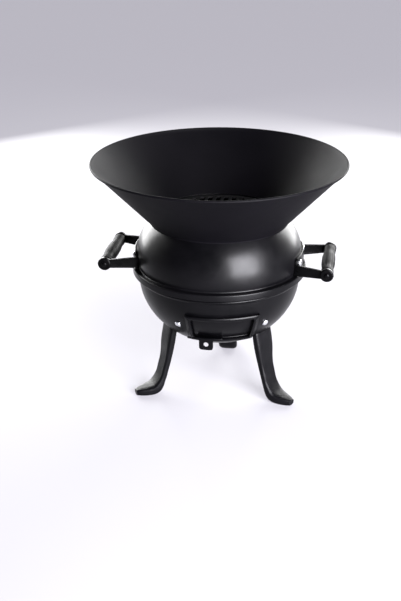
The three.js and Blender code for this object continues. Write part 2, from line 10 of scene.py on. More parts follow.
import bmesh
import bpy
import numpy as np
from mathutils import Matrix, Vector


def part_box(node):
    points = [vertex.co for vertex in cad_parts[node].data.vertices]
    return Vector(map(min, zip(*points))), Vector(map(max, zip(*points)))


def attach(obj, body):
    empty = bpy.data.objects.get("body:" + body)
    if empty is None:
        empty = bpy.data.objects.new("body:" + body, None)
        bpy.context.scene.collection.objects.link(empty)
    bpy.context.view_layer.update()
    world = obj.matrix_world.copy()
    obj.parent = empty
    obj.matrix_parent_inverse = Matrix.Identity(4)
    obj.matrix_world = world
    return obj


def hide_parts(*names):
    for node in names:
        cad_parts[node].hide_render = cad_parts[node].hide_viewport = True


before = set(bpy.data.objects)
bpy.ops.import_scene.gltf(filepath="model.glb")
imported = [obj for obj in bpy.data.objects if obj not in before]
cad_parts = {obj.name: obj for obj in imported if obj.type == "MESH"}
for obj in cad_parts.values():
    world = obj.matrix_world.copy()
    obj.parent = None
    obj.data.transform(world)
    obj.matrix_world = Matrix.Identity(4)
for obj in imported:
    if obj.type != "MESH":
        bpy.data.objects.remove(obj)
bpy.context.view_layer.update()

# %% [markdown]
# ## Camera
# The camera stands a little to the right of the front and looks down at the ball from about two
# metres. Its distance, turn and tilt are enough to place it: it is turned round the ball's axis,
# raised, and tipped down. A small sideways shift frames the brazier right of centre.

# %% Camera
camera_distance = 1.8286
camera_height = 0.9803
camera_turn = math.radians(7.9)
camera_tilt = 0.4179
sight = bpy.data.cameras.new("studio_camera")
sight.sensor_width = 36
sight.lens = 62.7
sight.shift_x = -0.0313
camera = bpy.data.objects.new("studio_camera", sight)
camera.location = (
    camera_distance * math.sin(camera_turn),
    -camera_distance * math.cos(camera_turn),
    camera_height,
)
camera.rotation_euler = (math.pi / 2 - camera_tilt, 0, camera_turn)
bpy.context.collection.objects.link(camera)
bpy.context.scene.camera = camera
print("camera at", [round(value, 3) for value in camera.location])

# %% [markdown]
# ## Surfaces as grids
# Every new piece is a grid of points worked out with numpy. Two indices run over the grid, and
# neighbours in both make a quad. A grid may close on itself in either direction, as a tube does.
# Quads can be left out, which makes a window. Merging equal points closes seams and poles.

# %% Grid helpers
MM = 0.001
TURN = 2 * np.pi
WELD = 0.002 * MM
SLIVER = 0.001 * MM


def quads(rows, columns, wrap_rows=False, wrap_columns=False, keep=None):
    """Corner numbers of the quads (i, j), (i, j+1), (i+1, j+1), (i+1, j), wrapping where asked."""
    i = np.arange(rows if wrap_rows else rows - 1)[:, None]
    j = np.arange(columns if wrap_columns else columns - 1)[None, :]
    below = (i + 1) % rows
    right = (j + 1) % columns
    corners = np.stack(np.broadcast_arrays(
        i * columns + j, i * columns + right, below * columns + right, below * columns + j), -1)
    if keep is not None:
        corners = corners[keep]
    return corners.reshape(-1, 4)


def surface(points, wrap_rows=False, wrap_columns=False, keep=None):
    """One grid of points, with its quads, ready to go into a mesh."""
    return points, quads(points.shape[0], points.shape[1], wrap_rows, wrap_columns, keep)


def caps(points):
    """Fans that close the first and the last row of a tube: each edge meets the row's middle."""
    count = points.shape[1]
    lids = []
    for row in (points[:1], points[-1:]):
        middle = np.repeat(row.mean(axis=1, keepdims=True), count, 1)
        lids.append(surface(np.concatenate([row, middle]), wrap_columns=True))
    return lids


def capped(tube):
    """A tube with both its ends closed."""
    return [surface(tube, wrap_columns=True)] + caps(tube)


def piece(name, surfaces, closed=True, away_from=None, crease=38):
    """A mesh object of several surfaces. Closed ones get outward faces; open ones face away from a point."""
    vertices = np.concatenate([points.reshape(-1, 3) for points, _ in surfaces])
    starts = np.cumsum([0] + [points.size // 3 for points, _ in surfaces])
    faces = np.concatenate([corners + start for (_, corners), start in zip(surfaces, starts)])
    mesh = bpy.data.meshes.new(name)
    mesh.from_pydata(vertices.tolist(), [], faces.tolist())
    soup = bmesh.new()
    soup.from_mesh(mesh)
    bmesh.ops.remove_doubles(soup, verts=soup.verts, dist=WELD)
    bmesh.ops.dissolve_degenerate(soup, edges=soup.edges, dist=SLIVER)
    if closed:
        bmesh.ops.recalc_face_normals(soup, faces=soup.faces)
    soup.to_mesh(mesh)
    soup.free()
    if away_from is not None:
        turn_away(mesh, away_from)
    mesh.polygons.foreach_set("use_smooth", np.ones(len(mesh.polygons), bool))
    mesh.set_sharp_from_angle(angle=math.radians(crease))
    made = bpy.data.objects.new(name, mesh)
    bpy.context.collection.objects.link(made)
    return made


def turn_away(mesh, point):
    """Flips the mesh if its faces look towards the point on average: sum of area n . (c - p) < 0."""
    count = len(mesh.polygons)
    normals, centres, areas = np.empty(count * 3), np.empty(count * 3), np.empty(count)
    mesh.polygons.foreach_get("normal", normals)
    mesh.polygons.foreach_get("center", centres)
    mesh.polygons.foreach_get("area", areas)
    outward = (normals.reshape(-1, 3) * (centres.reshape(-1, 3) - point)).sum(1) * areas
    if outward.sum() < 0:
        mesh.flip_normals()


def thicken(made, wall):
    """Gives an open sheet its wall, inwards from the drawn side."""
    solid = made.modifiers.new("wall", "SOLIDIFY")
    solid.thickness = wall
    solid.offset = -1
    solid.use_even_offset = True
    return made


def soften(made, width, segments=2, angle=40):
    """Rounds the edges that are sharper than an angle."""
    bevel = made.modifiers.new("edges", "BEVEL")
    bevel.width = width
    bevel.segments = segments
    bevel.limit_method = "ANGLE"
    bevel.angle_limit = math.radians(angle)
    bevel.use_clamp_overlap = True
    return made


def belongs(made, body, material, slot, *nodes):
    """Puts a piece on its body, in its finish, in place of its CAD nodes."""
    made.data.materials.clear()
    made.data.materials.append(material)
    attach(made, body)
    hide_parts(*nodes)
    print(f"{made.name}: {len(made.data.polygons)} faces on {body}")


def repaint(node, material):
    """Keeps the shape of a CAD node and gives it a finish of this file."""
    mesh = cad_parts[node].data
    mesh.materials.clear()
    mesh.materials.append(material)
    print(f"{node}: keeps its CAD shape, in {material.name}")


print("a 3 by 4 grid has", len(quads(3, 4)), "quads, and", len(quads(3, 4, wrap_columns=True)), "as a tube")


# %% [markdown]
# ## Curves and sections
# Sheet metal has rounded corners, and castings have rounded sections, so three small tools come
# up again and again: a polyline with its corners rounded, a smooth line through a few knots, and
# the rounded box section known as a superellipse.

# %% Curve helpers


def rounded(corners, radii, steps=6, closed=True):
    """Polyline with rounded corners. At corner p, with a and b on its two sides at the corner's
    radius, the curve is (1-t)^2 a + 2 t (1-t) p + t^2 b for t from 0 to 1."""
    corners = np.asarray(corners, float)
    radii = np.broadcast_to(np.asarray(radii, float), len(corners))
    t = np.linspace(0, 1, steps)[:, None]
    line = []
    for index, (point, radius) in enumerate(zip(corners, radii)):
        end = not closed and index in (0, len(corners) - 1)
        if end or radius == 0:
            line.append(point[None])
            continue
        before = corners[index - 1] - point
        after = corners[(index + 1) % len(corners)] - point
        a = point + before * min(0.5, radius / np.linalg.norm(before))
        b = point + after * min(0.5, radius / np.linalg.norm(after))
        line.append((1 - t) ** 2 * a + 2 * t * (1 - t) * point + t ** 2 * b)
    return np.concatenate(line)


def dense(line, longest):
    """The same polyline with no stretch longer than the given length."""
    stretches = []
    for a, b in zip(line[:-1], line[1:]):
        count = max(1, int(np.ceil(np.linalg.norm(b - a) / longest)))
        stretches.append(a + (b - a) * np.linspace(0, 1, count, endpoint=False)[:, None])
    return np.concatenate(stretches + [line[-1:]])


def flowing(knots, count):
    """Smooth line through knots: the cubic between two knots takes its slope at each from the
    chord across that knot's neighbours, over a parameter that grows with sqrt(chord)."""
    knots = np.asarray(knots, float)
    chord = np.linalg.norm(np.diff(knots[:, :2], axis=0), axis=1)
    time = np.concatenate([[0], np.cumsum(np.sqrt(chord))])
    slope = np.gradient(knots, time, axis=0, edge_order=1)
    at = np.linspace(0, time[-1], count)
    k = np.clip(np.searchsorted(time, at, side="right") - 1, 0, len(knots) - 2)
    span = (time[k + 1] - time[k])[:, None]
    t = ((at - time[k]) / span[:, 0])[:, None]
    return ((2 * t ** 3 - 3 * t ** 2 + 1) * knots[k] + (t ** 3 - 2 * t ** 2 + t) * span * slope[k]
            + (3 * t ** 2 - 2 * t ** 3) * knots[k + 1] + (t ** 3 - t ** 2) * span * slope[k + 1])


def squarish(count, power):
    """Unit superellipse: (sgn cos |cos|^(2/power), sgn sin |sin|^(2/power)). Power 2 is a circle."""
    angle = np.linspace(0, TURN, count, endpoint=False)

    def bend(value):
        return np.sign(value) * np.abs(value) ** (2 / power)

    return bend(np.cos(angle)), bend(np.sin(angle))


def ring_points(r, angle, z):
    """Points round the axis, from the front towards +X: (r sin a, -r cos a, z)."""
    return np.stack(np.broadcast_arrays(r * np.sin(angle), -r * np.cos(angle), z), -1)


def turned(profile, segments=224):
    """Surface of revolution about Z of a profile (r, z)."""
    r, z = np.asarray(profile).T[..., None]
    return ring_points(r, np.linspace(0, TURN, segments, endpoint=False), z)


def along_y(rings):
    """A turned surface laid down along Y: (x, y, z) becomes (x, z, y)."""
    return rings[..., [0, 2, 1]]


def about_z(points, angle):
    """Points turned about the Z axis."""
    c, s = np.cos(angle), np.sin(angle)
    return points @ np.array([[c, s, 0], [-s, c, 0], [0, 0, 1]])


def aimed(points, radius, z, normal, angle):
    """Points drawn along +Z, tipped to point along (radial, vertical) = normal, then put at a
    radius and height and turned round the ball's axis."""
    nr, nz = normal
    tipped = points @ np.array([[1, 0, 0], [0, nz, nr], [0, -nr, nz]])
    return about_z(tipped + [0, -radius, z], angle)


print("a corner rounded by 1 has", len(rounded([(0, 0), (2, 0), (2, 2)], [0, 1, 0], closed=False)), "points")


# %% [markdown]
# ## Sizes from the frame
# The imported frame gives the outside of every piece. The few sizes that a box can't give, such as
# the section radius of the shoulder, are named here once, in millimetres turned to metres.

# %% Sizes
wall = 1.5 * MM
gap = 0.3 * MM
skirt_reach = 11.1 * MM
rim_height = 17.8 * MM
shoulder_step = 3 * MM
shoulder_rise = 19.4 * MM
lower_low, lower_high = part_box("lower_shell")
upper_low, upper_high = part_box("upper_shell")
bowl_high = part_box("fire_bowl")[1]
skirt_radius = upper_high[0]
skirt_low = upper_low[2]
collar_top = upper_high[2]
rim_z = lower_high[2]
ball_bottom = lower_low[2]
lower_radius = skirt_radius - skirt_reach
equator_z = rim_z - rim_height
lower_depth = equator_z - ball_bottom
ledge_z = rim_z + gap + wall
shoulder_radius = 92.7 * MM
shoulder_centre = lower_radius + shoulder_step - shoulder_radius
shoulder_centre_z = ledge_z + shoulder_rise
neck_radius = 121 * MM
ball_middle = (0, 0, float(equator_z))
print("ball radius", round(lower_radius, 4), "depth", round(lower_depth, 4),
      "skirt", round(skirt_radius, 4))


def ball_radius(z):
    """Radius of the lower shell at a height: R sqrt(1 - ((E - z) / D)^2)."""
    return lower_radius * np.sqrt(np.clip(1 - ((equator_z - z) / lower_depth) ** 2, 0, 1))


def ball_normal(z):
    """Outward normal (radial, vertical) of the lower shell: (r / R^2, (z - E) / D^2), scaled to one."""
    radial = ball_radius(z) / lower_radius ** 2
    vertical = (z - equator_z) / lower_depth ** 2
    size = np.hypot(radial, vertical)
    return radial / size, vertical / size


def shoulder_point(z, lift=0.0):
    """Radius and height of the shoulder's arc where it is at height z, lifted along its normal."""
    sine = (z - shoulder_centre_z) / shoulder_radius
    cosine = np.sqrt(1 - sine ** 2)
    reach = shoulder_radius + lift
    return shoulder_centre + reach * cosine, shoulder_centre_z + reach * sine


# %% [markdown]
# ## Finishes
# Each finish is a small tree of shader nodes on Object coordinates, in metres. Noise at a few
# scales changes colour and roughness a little, and a fine bump gives the skin its tooth. Values
# that are the same all over sit on the shader itself.

# %% Shader helpers


def new_finish(name, roughness, metallic=0.0, specular=0.5):
    """A material with one Principled shader and Object coordinates."""
    material = bpy.data.materials.new(name)
    material.use_nodes = True
    tree = material.node_tree
    shader = tree.nodes["Principled BSDF"]
    shader.inputs["Roughness"].default_value = roughness
    shader.inputs["Metallic"].default_value = metallic
    shader.inputs["Specular IOR Level"].default_value = specular
    place = tree.nodes.new("ShaderNodeTexCoord")
    return material, tree, shader, place.outputs["Object"]


def stretched(tree, place, scale):
    """Object coordinates scaled by an amount on each axis."""
    mapping = tree.nodes.new("ShaderNodeMapping")
    mapping.inputs["Scale"].default_value = scale
    tree.links.new(place, mapping.inputs["Vector"])
    return mapping.outputs["Vector"]


def noise(tree, place, scale, detail=3.0, roughness=0.55):
    """Noise of about 1 / scale metres."""
    node = tree.nodes.new("ShaderNodeTexNoise")
    node.inputs["Scale"].default_value = scale
    node.inputs["Detail"].default_value = detail
    node.inputs["Roughness"].default_value = roughness
    tree.links.new(place, node.inputs["Vector"])
    return node.outputs["Fac"]


def ramp(tree, value, stops):
    """Colour ramp from (position, colour) stops."""
    node = tree.nodes.new("ShaderNodeValToRGB")
    band = node.color_ramp
    while len(band.elements) < len(stops):
        band.elements.new(0.5)
    for element, (position, colour) in zip(band.elements, stops):
        element.position = position
        element.color = (*colour, 1)
    tree.links.new(value, node.inputs["Fac"])
    return node.outputs["Color"]


def remap(tree, value, low, high, out_low, out_high):
    """Straight-line change of one range to another, held at its ends."""
    node = tree.nodes.new("ShaderNodeMapRange")
    for socket, number in zip(("From Min", "From Max", "To Min", "To Max"), (low, high, out_low, out_high)):
        node.inputs[socket].default_value = number
    tree.links.new(value, node.inputs["Value"])
    return node.outputs["Result"]


def bump(tree, shader, height, depth, under=None):
    """Bump of a depth in metres, over another bump if there is one."""
    node = tree.nodes.new("ShaderNodeBump")
    node.inputs["Strength"].default_value = 1.0
    node.inputs["Distance"].default_value = depth
    tree.links.new(height, node.inputs["Height"])
    if under is not None:
        tree.links.new(under, node.inputs["Normal"])
    tree.links.new(node.outputs["Normal"], shader.inputs["Normal"])
    return node.outputs["Normal"]


def mottle(tree, shader, fleck, stops, change):
    """Colour and roughness that follow one noise: a ramp of stops, and a straight-line change."""
    tree.links.new(ramp(tree, fleck, stops), shader.inputs["Base Color"])
    tree.links.new(remap(tree, fleck, *change), shader.inputs["Roughness"])


print("materials from the frame:", len(bpy.data.materials))

# %% [markdown]
# ### Black paints
# The ball wears a satin heat-proof enamel: near black, smooth, with faint clouds where the spray
# lay thicker and a light orange peel. The bowl's paint is drier and a touch violet. The brackets
# are dipped in gloss over a cast surface. All the black colours are set far below those of real
# paint, iron and wood, and suit the strong lamp of this studio: another light needs lighter ones.

# %% Paints


def satin_enamel():
    """Clouds of 60 mm in colour and gloss, over an orange peel of 3 mm."""
    material, tree, shader, place = new_finish("satin_enamel", 0.34, specular=0.11)
    clouds = noise(tree, place, 16, 4)
    specks = noise(tree, place, 900, 2)
    mottle(tree, shader, clouds, [(0.3, (0.0006, 0.0006, 0.0008)), (0.75, (0.0012, 0.0011, 0.0015))],
           (0.35, 0.65, 0.28, 0.40))
    peel = bump(tree, shader, noise(tree, place, 320, 2), 0.000035)
    bump(tree, shader, specks, 0.00002, peel)
    return material


def dry_enamel():
    """Duller than the ball, with a coarse and a fine tooth."""
    material, tree, shader, place = new_finish("dry_enamel", 0.55, specular=0.06)
    clouds = noise(tree, place, 11, 4)
    mottle(tree, shader, clouds, [(0.3, (0.0005, 0.0004, 0.0009)), (0.75, (0.0010, 0.0008, 0.0015))],
           (0.3, 0.75, 0.58, 0.68))
    coarse = bump(tree, shader, noise(tree, place, 420, 3), 0.00008)
    bump(tree, shader, noise(tree, place, 1600, 2), 0.00003, coarse)
    return material


def cast_gloss():
    """Gloss that shows the sand of the casting under it."""
    material, tree, shader, place = new_finish("cast_gloss", 0.3, specular=0.06)
    sand = noise(tree, place, 500, 3)
    clouds = noise(tree, place, 60, 3)
    mottle(tree, shader, clouds, [(0.3, (0.0004, 0.0004, 0.0005)), (0.8, (0.0009, 0.0009, 0.0010))],
           (0.3, 0.75, 0.22, 0.40))
    bump(tree, shader, sand, 0.00015)
    return material


enamel = satin_enamel()
bowl_enamel = dry_enamel()
bracket_gloss = cast_gloss()
print("paints:", enamel.name, bowl_enamel.name, bracket_gloss.name)

# %% [markdown]
# ### Iron, zinc and wood
# The legs and the grate are sand castings: dull grey-black with a pebbled skin. The fixings are
# bright zinc with fine scratches. The grips are stained wood whose grain runs along the grip, so
# the noise is stretched along Y.

# %% Iron, zinc and wood


def sand_cast(name, dark, light, roughness):
    """Dull iron between two colours, pebbled at 4 mm and 1 mm."""
    material, tree, shader, place = new_finish(name, roughness, specular=0.09)
    clouds = noise(tree, place, 45, 4)
    mottle(tree, shader, clouds, [(0.3, dark), (0.75, light)],
           (0.3, 0.75, roughness - 0.08, roughness + 0.08))
    pebbles = bump(tree, shader, noise(tree, place, 260, 4, 0.65), 0.00035)
    bump(tree, shader, noise(tree, place, 1100, 2), 0.00008, pebbles)
    return material


def bright_zinc():
    """Metal with frost in its colour and fine scratches."""
    material, tree, shader, place = new_finish("bright_zinc", 0.28, metallic=1.0)
    frost = noise(tree, place, 700, 3)
    tint = ramp(tree, frost, [(0.3, (0.62, 0.63, 0.66)), (0.75, (0.80, 0.81, 0.83))])
    tree.links.new(tint, shader.inputs["Base Color"])
    scratches = noise(tree, stretched(tree, place, (1, 9, 1)), 500, 2)
    tree.links.new(remap(tree, scratches, 0.3, 0.7, 0.2, 0.42), shader.inputs["Roughness"])
    bump(tree, shader, scratches, 0.00003)
    return material


def stained_wood():
    """Grain times figure, both drawn out along Y."""
    material, tree, shader, place = new_finish("stained_wood", 0.62, specular=0.03)
    grain = noise(tree, stretched(tree, place, (1, 0.06, 1)), 420, 5, 0.6)
    figure = noise(tree, stretched(tree, place, (1, 0.25, 1)), 60, 3)
    tint = ramp(tree, grain, [(0.3, (0.0004, 0.0004, 0.0004)), (0.55, (0.0012, 0.0010, 0.0011)),
                              (0.75, (0.0026, 0.0022, 0.0024))])
    shade = ramp(tree, figure, [(0.3, (0.72, 0.70, 0.72)), (0.7, (1.0, 1.0, 1.0))])
    blend = tree.nodes.new("ShaderNodeMixRGB")
    blend.blend_type = "MULTIPLY"
    blend.inputs["Fac"].default_value = 1.0
    tree.links.new(tint, blend.inputs["Color1"])
    tree.links.new(shade, blend.inputs["Color2"])
    tree.links.new(blend.outputs["Color"], shader.inputs["Base Color"])
    tree.links.new(remap(tree, grain, 0.3, 0.7, 0.48, 0.66), shader.inputs["Roughness"])
    bump(tree, shader, grain, 0.00018)
    return material


leg_iron = sand_cast("leg_iron", (0.0006, 0.0006, 0.0009), (0.0014, 0.0013, 0.0018), 0.44)
grate_iron = sand_cast("grate_iron", (0.003, 0.003, 0.0032), (0.006, 0.0058, 0.0062), 0.66)
zinc = bright_zinc()
grip_wood = stained_wood()
print("finishes:", leg_iron.name, grate_iron.name, zinc.name, grip_wood.name)

# %% [markdown]
# ## The two halves of the ball
# Each half is spun sheet: a closed section turned about the axis. The upper half steps out to a
# flat flange, and a skirt hangs from it over the flange of the lower half. The corners of the
# section are rounded, because pressed sheet has no sharp edge. A shallow bead swells out of the
# lower half under the skirt. The lower half also has a window for the air, so its grid follows
# the window's leaning sides and leaves those quads out.

# %% Upper half
shoulder_low = math.asin((ledge_z - shoulder_centre_z) / shoulder_radius)
shoulder_top = math.acos((neck_radius - shoulder_centre) / shoulder_radius)


def shoulder_arc(lift, count=72):
    """The shoulder's section: centre + (radius + lift) (cos b, sin b), from the flange to the neck."""
    b = np.linspace(shoulder_low, shoulder_top, count)
    reach = shoulder_radius + lift
    return np.stack([shoulder_centre + reach * np.cos(b), shoulder_centre_z + reach * np.sin(b)], 1)


outer_arc = shoulder_arc(0.0)
inner_arc = shoulder_arc(-wall)[::-1]
crease = (shoulder_centre + shoulder_radius * math.cos(shoulder_low), ledge_z)
skirt = rounded([(skirt_radius - wall, skirt_low), (skirt_radius, skirt_low), (skirt_radius, ledge_z),
                 crease, outer_arc[5]], [0.6 * MM, 0.6 * MM, 2.6 * MM, 4.2 * MM, 0], steps=10, closed=False)
collar = rounded([outer_arc[-3], outer_arc[-1], (neck_radius, collar_top), (neck_radius - wall, collar_top),
                  (neck_radius - wall, inner_arc[0][1])], [0, 1.5 * MM, 0.6 * MM, 0.6 * MM, 0], closed=False)
inside = rounded([inner_arc[-2], (inner_arc[-1][0], ledge_z - wall), (skirt_radius - wall, ledge_z - wall),
                  (skirt_radius - wall, skirt_low)], [0, 0.8 * MM, 1.2 * MM, 0], closed=False)
section = np.concatenate([skirt, outer_arc[6:-3], collar, inner_arc[1:-2], inside[:-1]])
upper_shell = piece("upper_half", [surface(turned(section), wrap_rows=True, wrap_columns=True)])
belongs(upper_shell, "upper", enamel, "shell_paint", "upper_shell")

# %% [markdown]
# ### Where the air comes in
# The vent sits ten degrees to the right of the front. Everything in it is laid out on the ball
# itself by two numbers: how far sideways from the vent's middle, and how high.

# %% Vent layout
vent_turn = math.radians(10)
frame_top_z = 201.5 * MM
frame_low_z = 137 * MM
side_rail = 10.5 * MM
top_rail = 7.5 * MM
low_rail = 9.4 * MM
vent_half_top = 67.5 * MM
vent_lean = 0.14
window_lap = 0.9 * MM
window_top = frame_top_z - top_rail + 2.7 * MM
window_low = frame_low_z + low_rail + window_lap


def vent_half(z):
    """Half width of the frame at a height: its sides lean in by a share of the drop from its top."""
    return vent_half_top - vent_lean * (frame_top_z - z)


def on_ball(sideways, z, lift):
    """Point of the lower shell at a sideways distance x and height z, lifted along the normal:
    (r sin b, -r cos b, z) + lift n with sin b = x / r, turned round to the vent."""
    r = ball_radius(z)
    nr, nz = ball_normal(z)
    b = np.arcsin(np.clip(sideways / r, -1, 1))
    reach = r + lift * nr
    return about_z(ring_points(reach, b, z + lift * nz), vent_turn)


print("window from", round(window_low, 4), "to", round(window_top, 4), "half width",
      round(vent_half(window_low) - side_rail, 4), "at its foot")

# %% Lower half


def lower_half_grid():
    """Rows climb from the pole to the rim and out along the flange; columns go round. Two
    columns lie on the window's sides, whose angle is asin(half width / r), and the columns
    between are shared out evenly. Under the flange a bead of 2.1 mm swells out and turns back."""
    bead, foot_z, brow_z = 2.1 * MM, 226 * MM, 230.2 * MM
    skirt_play = 0.7 * MM
    window_columns, back_columns = 48, 176
    e = np.linspace(np.pi / 2, math.asin((equator_z - foot_z) / lower_depth), 90)
    heights = equator_z - lower_depth * np.sin(e)
    heights = np.sort(np.concatenate([heights, [window_low, window_top]]))
    t = np.linspace(0, 1, 9)[1:]
    swell = np.stack([lower_radius + bead * t ** 2 * (3 - 2 * t), foot_z + (brow_z - foot_z) * t], 1)
    brow = np.stack([lower_radius + bead * np.cos(t * np.pi / 2), brow_z + bead * np.sin(t * np.pi / 2)], 1)
    flange = skirt_radius - wall - skirt_play
    rim = rounded([(lower_radius, brow_z + bead), (lower_radius, rim_z - wall * 0.5),
                   (flange, rim_z - wall * 0.5)], [0, 2 * MM, 0], closed=False)[1:]
    top = np.concatenate([swell, brow, rim])
    r = np.concatenate([ball_radius(heights), top[:, 0]])
    z = np.concatenate([heights, top[:, 1]])
    held = np.clip(z, window_low, window_top)
    side = np.arcsin((vent_half(held) - side_rail + window_lap) / ball_radius(held))[:, None]
    across = np.linspace(-1, 1, window_columns + 1)[None, :]
    round_back = np.linspace(0, 1, back_columns + 1)[None, 1:-1]
    angle = np.concatenate([side * across, side + (TURN - 2 * side) * round_back], 1) + vent_turn
    r, z = r[:, None], z[:, None]
    points = ring_points(r, angle, z)
    rows, columns = points.shape[:2]
    first = int(np.argmin(np.abs(z[:, 0] - window_low)))
    last = int(np.argmin(np.abs(z[:, 0] - window_top)))
    keep = np.ones((rows - 1, columns), bool)
    keep[first:last, :window_columns] = False
    return surface(points, wrap_columns=True, keep=keep)


lower_shell = piece("lower_half", [lower_half_grid()], closed=False, away_from=ball_middle)
thicken(lower_shell, wall)
belongs(lower_shell, "base", enamel, "shell_paint", "lower_shell")

# %% [markdown]
# ### The vent's frame
# The frame is one pressed sheet: a flat foot down each side, a step up to a raised channel, and a
# turned-in edge round the opening. Its top is open, which leaves a dark slot above the bright
# edge of the rail. A ring of points runs round the frame, and each station of the section moves
# that ring inwards and lifts it off the ball.

# %% Vent frame


def frame_ring(share, corner, count=30):
    """Rounded outline of the frame moved in by a share of its rails: 0 outside, 1 at the opening."""
    top = frame_top_z - share * top_rail
    low = frame_low_z + share * low_rail
    inset = share * side_rail
    corners = np.array([(-vent_half(top) + inset, top), (-vent_half(low) + inset, low),
                        (vent_half(low) - inset, low), (vent_half(top) - inset, top)])
    smooth = rounded(corners, corner, steps=7).reshape(4, 7, 2)
    t = np.linspace(0, 1, count)[1:-1, None]
    runs = []
    for side in range(4):
        start = smooth[side][-1]
        finish = smooth[(side + 1) % 4][0]
        runs += [smooth[side], start + (finish - start) * t]
    return np.concatenate(runs)


def frame_grid():
    """Section stations (share, lift) for the sides, and for the top where the channel is open."""
    side = np.array([(0, 1.8), (0.38, 1.8), (0.46, 2.3), (0.49, 5.2), (0.56, 5.9), (0.9, 5.9),
                     (1.0, 5.0), (1.0, 1.4)])
    top = np.array([(0, 1.8), (0, 2.5), (0, 4), (0, 5.2), (0, 5.9), (0.85, 5.9), (1.0, 5.0), (1.0, 1.4)])
    corner, blend, channel_rows = 2.5 * MM, 2.4 * MM, 4
    outline = frame_ring(0, corner)
    at_top = np.clip((outline[:, 1] - frame_top_z + blend) / blend, 0, 1)
    rings = []
    for (share_side, lift_side), (share_top, lift_top) in zip(side, top):
        ring_side = frame_ring(share_side, corner)
        ring_top = frame_ring(share_top, corner)
        weight = at_top[:, None]
        ring = ring_side * (1 - weight) + ring_top * weight
        lift = (lift_side * (1 - at_top) + lift_top * at_top) * MM
        rings.append(on_ball(ring[:, 0], ring[:, 1], lift))
    points = np.stack(rings)
    open_top = (at_top > 0.99) & (np.roll(at_top, -1) > 0.99)
    keep = np.ones((len(side) - 1, len(outline)), bool)
    keep[:channel_rows, open_top] = False
    return surface(points, wrap_columns=True, keep=keep)


frame_sheet = 1.4 * MM
vent_frame = piece("air_vent_frame", [frame_grid()], closed=False, away_from=ball_middle, crease=50)
thicken(vent_frame, frame_sheet)
belongs(vent_frame, "base", enamel, "shell_paint", "vent_frame")

# %% [markdown]
# ### Damper and backplate
# The damper is a curved plate behind the frame. Its bottom turns out through the opening and
# carries a tab with a hole, for a poker to push it along. A fixed backplate shuts the right half
# of the opening and has an air port behind the closed damper.

# %% Damper
damper_edge = math.radians(0.8)
skin_low = window_low + 0.4 * MM
flange_reach = 10.2 * MM
hook_drop = 3 * MM
lip_start, flange_start, hook_end = -29, -21, 0.3
lip_points, flange_points, bend_row = 12, 40, 4
tab_turn = math.radians(13)
sheet = 1.2 * MM


def damper_skin():
    """Rows go down the plate; the left edge leans with the frame, the right edge is upright."""
    z = np.linspace(window_top - 0.6 * MM, skin_low, 40)[:, None]
    left = -(vent_half(z) - side_rail + 0.6 * MM)
    right = ball_radius(z) * math.sin(damper_edge)
    share = np.linspace(0, 1, 48)[None, :]
    return surface(on_ball(left + (right - left) * share, z, -0.25 * MM))


def hook_profile():
    """Section of the hook: out from the plate's foot, then down."""
    root = float(ball_radius(skin_low)) - 1.2 * MM
    rim = root + flange_reach + wall
    top = skin_low + wall
    return rounded([(root, top), (rim, top), (rim, skin_low - hook_drop)], [0, 1.6 * MM, 0], closed=False)


def hook_sheet():
    """The hook's section turned through its angle. Only the lip runs on past the flange's start."""
    lip = np.linspace(lip_start, flange_start, lip_points)
    flange = np.linspace(flange_start, hook_end, flange_points)[1:]
    angle = np.radians(np.concatenate([lip, flange])) + vent_turn
    r, z = hook_profile().T[..., None]
    keep = np.ones((len(z) - 1, len(angle) - 1), bool)
    keep[:bend_row, :lip_points - 1] = False
    return surface(ring_points(r, angle, z), keep=keep)


def tab_sheet():
    """Flat ring from the round hole out to the tab's outline: hole + share (outline - hole)."""
    width, length, corner, hole = 26 * MM, 22 * MM, 6.5 * MM, 4.4 * MM
    centre = skin_low - length + corner + hole
    left, right, foot = -width / 2, width / 2, skin_low - length
    outline = rounded([(left, skin_low), (left, foot), (right, foot), (right, skin_low)],
                      [0.5 * MM, corner, corner, 0.5 * MM], steps=9)
    outline = dense(np.concatenate([outline, outline[:1]]), 1.5 * MM)[:-1]
    spoke = outline - [0, centre]
    circle = [0, centre] + hole * spoke / np.linalg.norm(spoke, axis=1, keepdims=True)
    share = np.linspace(0, 1, 5)[:, None, None]
    flat = circle + share * (outline - circle)
    rim = hook_profile()[-1][0]
    out = np.full(flat.shape[:2], -rim * math.cos(width / 2 / rim))
    points = np.stack([flat[..., 0], out, flat[..., 1]], -1)
    return surface(about_z(points, vent_turn - tab_turn), wrap_columns=True)


damper = piece("damper_plate_and_tab", [damper_skin(), hook_sheet(), tab_sheet()], closed=False, crease=50)
turn_away(damper.data, ball_middle)
thicken(damper, sheet)
soften(damper, 0.25 * MM)
belongs(damper, "damper", enamel, "shell_paint", "damper_plate")


def backplate_grid():
    """Sheet inside the ball, drawn over the angles between its ears, with the port left out."""
    z = np.sort(np.append(np.linspace(window_low - 4 * MM, window_top + 4 * MM, 30),
                          [window_low + 5 * MM, window_top - 5 * MM]))
    ear = math.radians(41)
    port_left = -math.asin((vent_half(window_low) - side_rail - 5 * MM) / ball_radius(window_low))
    port_right = -math.radians(2.5)
    angle = np.concatenate([np.linspace(-ear, port_left, 16), np.linspace(port_left, port_right, 18)[1:],
                            np.linspace(port_right, ear, 34)[1:]])
    r = ball_radius(z)[:, None]
    points = on_ball(r * np.sin(angle)[None, :], z[:, None], -1.8 * MM)
    keep = np.ones((len(z) - 1, len(angle) - 1), bool)
    rows = (z[:-1] > window_low + 4.9 * MM) & (z[1:] < window_top - 4.9 * MM)
    columns = (angle[:-1] > port_left - 1e-6) & (angle[1:] < port_right + 1e-6)
    keep[np.ix_(rows, columns)] = False
    return surface(points, keep=keep)


